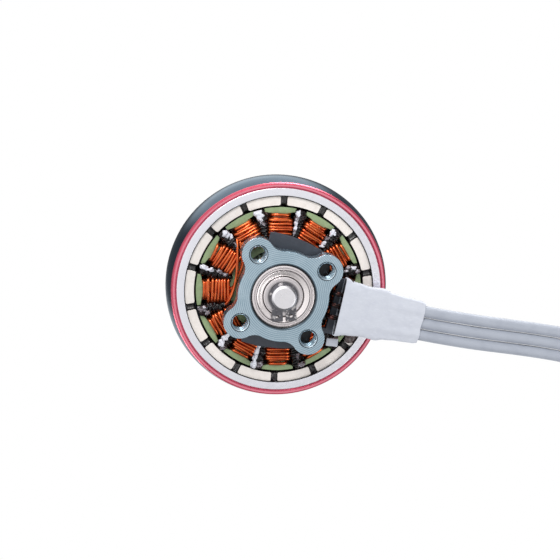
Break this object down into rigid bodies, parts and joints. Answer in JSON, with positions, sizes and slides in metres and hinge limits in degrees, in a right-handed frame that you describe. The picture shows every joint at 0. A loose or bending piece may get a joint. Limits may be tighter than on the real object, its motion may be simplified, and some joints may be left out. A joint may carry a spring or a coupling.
{
  "type": "drone motor",
  "caption": "Outrunner brushless motor with a four-lobed mounting base, spoked bell, open windings, ball bearings, propeller stud and three sleeved leads.",
  "frame": {"origin": "centre of the mounting face, on the shaft axis", "axes": "+Z along the shaft towards the propeller stud, +X towards the side where the leads leave, between two bolt lobes"},
  "size_m": [0.0928, 0.0468, 0.0343],
  "materials": {
    "base_aluminium": "grey-blue anodised, fine machining marks",
    "bearing_steel": "ground",
    "ball_steel": "polished",
    "cage_brass": "satin",
    "shield_steel": "pressed, concentric marks",
    "stack_steel": "stacked laminations",
    "green_coating": "green powder coating",
    "dark_board": "satin",
    "copper_wire": "enamelled copper",
    "lead_silicone": "satin silicone",
    "white_sleeve": "satin heat-shrink",
    "tinned_copper": "tinned strands",
    "bell_aluminium": "slate anodised with a red rim",
    "flux_ring_steel": "nickel plated",
    "magnet_plating": "satin nickel plating",
    "shaft_steel": "ground",
    "spring_steel": "phosphated",
    "washer_steel": "ground"
  },
  "bodies": {
    "stator": {"base_mount": "base_aluminium", "lower_bearing_outer_race": "bearing_steel", "lower_bearing_shields": "shield_steel", "upper_bearing_outer_race": "bearing_steel", "upper_bearing_shields": "shield_steel", "stator_core": "stack_steel", "stator_coating": "green_coating", "insulating_plate": "dark_board", "coil_1": "copper_wire", "coil_2": "copper_wire", "coil_3": "copper_wire", "coil_4": "copper_wire", "coil_5": "copper_wire", "coil_6": "copper_wire", "coil_7": "copper_wire", "coil_8": "copper_wire", "coil_9": "copper_wire", "coil_10": "copper_wire", "coil_11": "copper_wire", "coil_12": "copper_wire", "phase_tails": "copper_wire", "lead_roots": "lead_silicone", "lead_sleeve": "white_sleeve", "lead_a": "lead_silicone", "lead_b": "lead_silicone", "lead_c": "lead_silicone", "lead_a_coil": "lead_silicone", "lead_b_coil": "lead_silicone", "lead_c_coil": "lead_silicone", "lead_a_tip": "tinned_copper", "lead_b_tip": "tinned_copper", "lead_c_tip": "tinned_copper"},
    "rotor": {"bell": "bell_aluminium", "flux_ring": "flux_ring_steel", "magnet_1": "magnet_plating", "magnet_2": "magnet_plating", "magnet_3": "magnet_plating", "magnet_4": "magnet_plating", "magnet_5": "magnet_plating", "magnet_6": "magnet_plating", "magnet_7": "magnet_plating", "magnet_8": "magnet_plating", "magnet_9": "magnet_plating", "magnet_10": "magnet_plating", "magnet_11": "magnet_plating", "magnet_12": "magnet_plating", "magnet_13": "magnet_plating", "magnet_14": "magnet_plating", "shaft": "shaft_steel", "retaining_clip": "spring_steel", "lower_washer": "washer_steel", "upper_washer": "washer_steel", "lower_bearing_inner_race": "bearing_steel", "upper_bearing_inner_race": "bearing_steel"},
    "lower_ball_set": {"lower_bearing_balls": "ball_steel", "lower_bearing_cage": "cage_brass"},
    "upper_ball_set": {"upper_bearing_balls": "ball_steel", "upper_bearing_cage": "cage_brass"}
  },
  "joints": [
    {"name": "rotor_spin", "type": "hinge", "parent": "stator", "child": "rotor", "pos_m": [0, 0, 0.0101], "axis": [0, 0, 1], "continuous": true},
    {"name": "lower_balls_roll", "type": "hinge", "parent": "stator", "child": "lower_ball_set", "pos_m": [0, 0, 0.0023], "axis": [0, 0, 1], "continuous": true},
    {"name": "upper_balls_roll", "type": "hinge", "parent": "stator", "child": "upper_ball_set", "pos_m": [0, 0, 0.0139], "axis": [0, 0, 1], "continuous": true}
  ],
  "couplings": [
    {"joint": "lower_balls_roll", "follows": "rotor_spin", "ratio": 0.405},
    {"joint": "upper_balls_roll", "follows": "rotor_spin", "ratio": 0.405}
  ]
}
